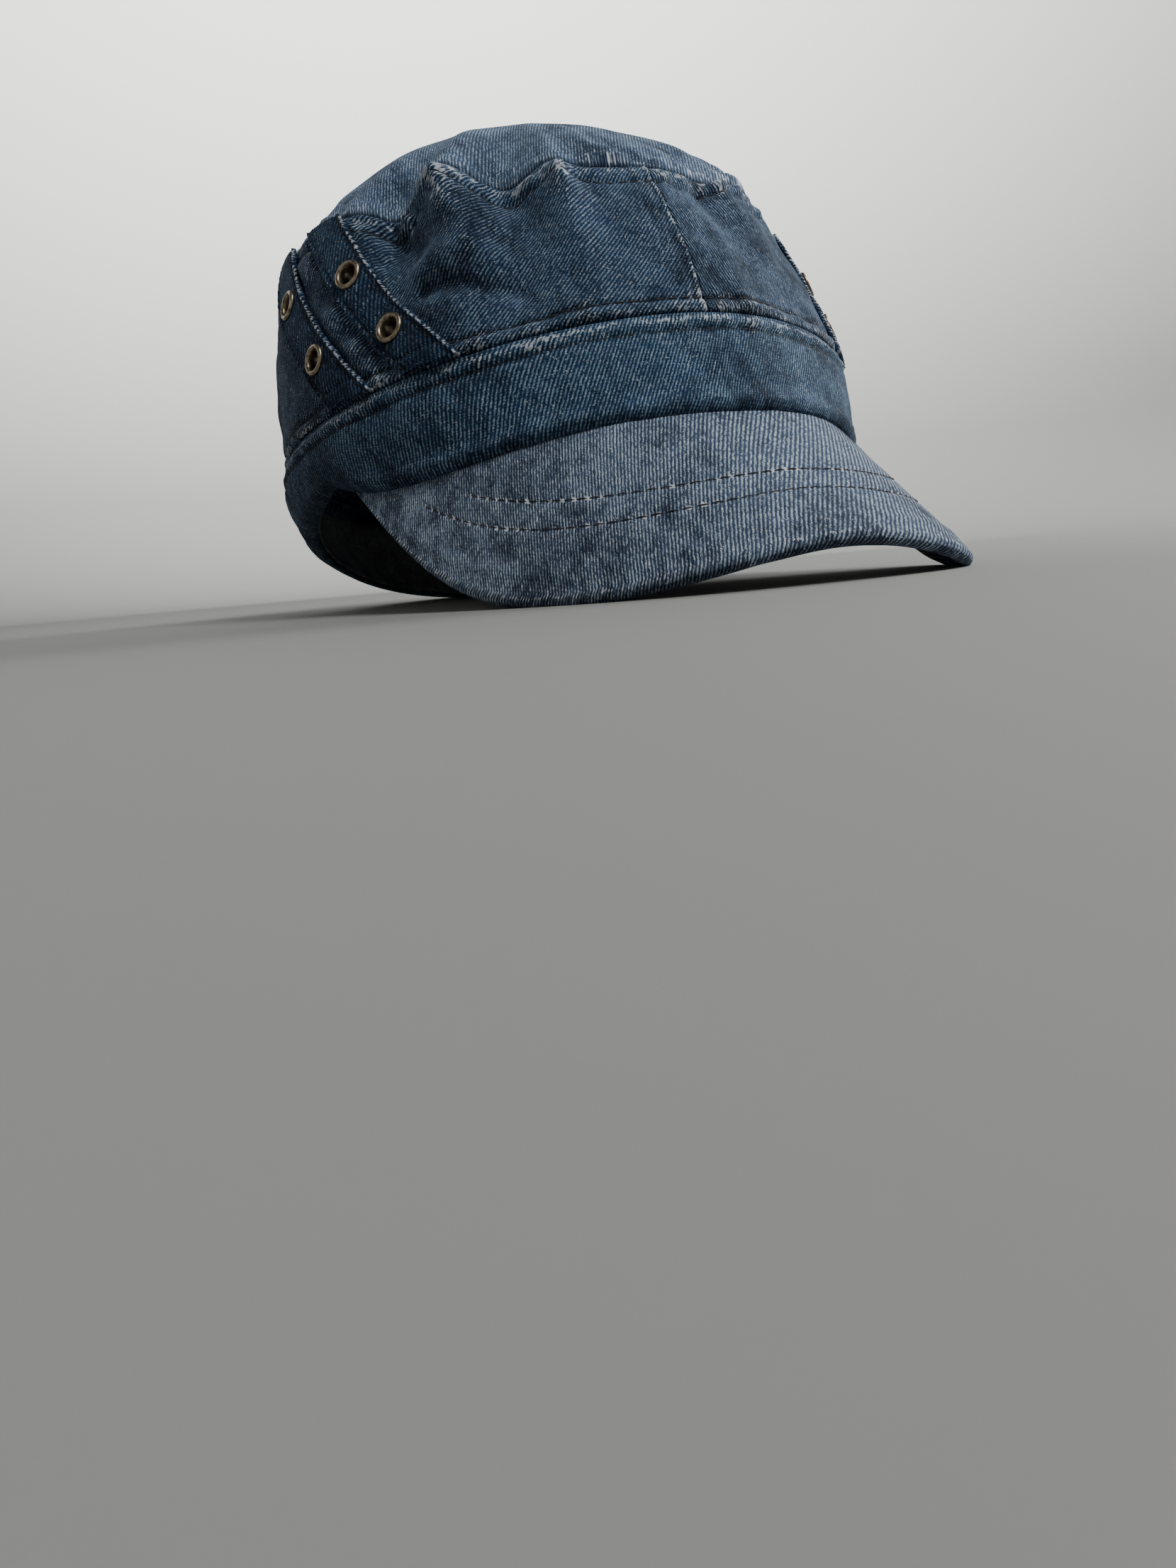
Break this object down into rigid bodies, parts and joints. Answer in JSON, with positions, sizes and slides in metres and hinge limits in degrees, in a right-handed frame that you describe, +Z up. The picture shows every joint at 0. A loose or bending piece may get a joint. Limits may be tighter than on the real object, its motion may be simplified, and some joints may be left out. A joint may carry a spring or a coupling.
{
  "type": "cadet cap",
  "caption": "Denim cadet cap with an arched peak, a gathered crown on a plain band, and slanted straps with brass eyelets on each side.",
  "frame": {"origin": "centre of the bounding box's base, on the surface that the cap rests on", "axes": "+X towards the wearer's left, -Y towards the peak (the front), +Z up"},
  "size_m": [0.1794, 0.2512, 0.1402],
  "materials": {
    "denim": "washed indigo denim twill",
    "peak_denim": "denim twill over a stiff board, worn paler on top",
    "sweatband_tape": "grey cotton tape",
    "old_brass": "antique brass, worn bright on its edges"
  },
  "bodies": {
    "root": {"crown_top": "denim", "crown_side_right": "denim", "crown_side_left": "denim", "band": "denim", "sweatband": "sweatband_tape", "peak": "peak_denim", "strap_right_front": "denim", "strap_right_rear": "denim", "strap_left_front": "denim", "strap_left_rear": "denim", "eyelet_right_front_lower": "old_brass", "eyelet_right_front_upper": "old_brass", "eyelet_right_rear_lower": "old_brass", "eyelet_right_rear_upper": "old_brass", "eyelet_left_front_lower": "old_brass", "eyelet_left_front_upper": "old_brass", "eyelet_left_rear_lower": "old_brass", "eyelet_left_rear_upper": "old_brass"}
  },
  "joints": []
}
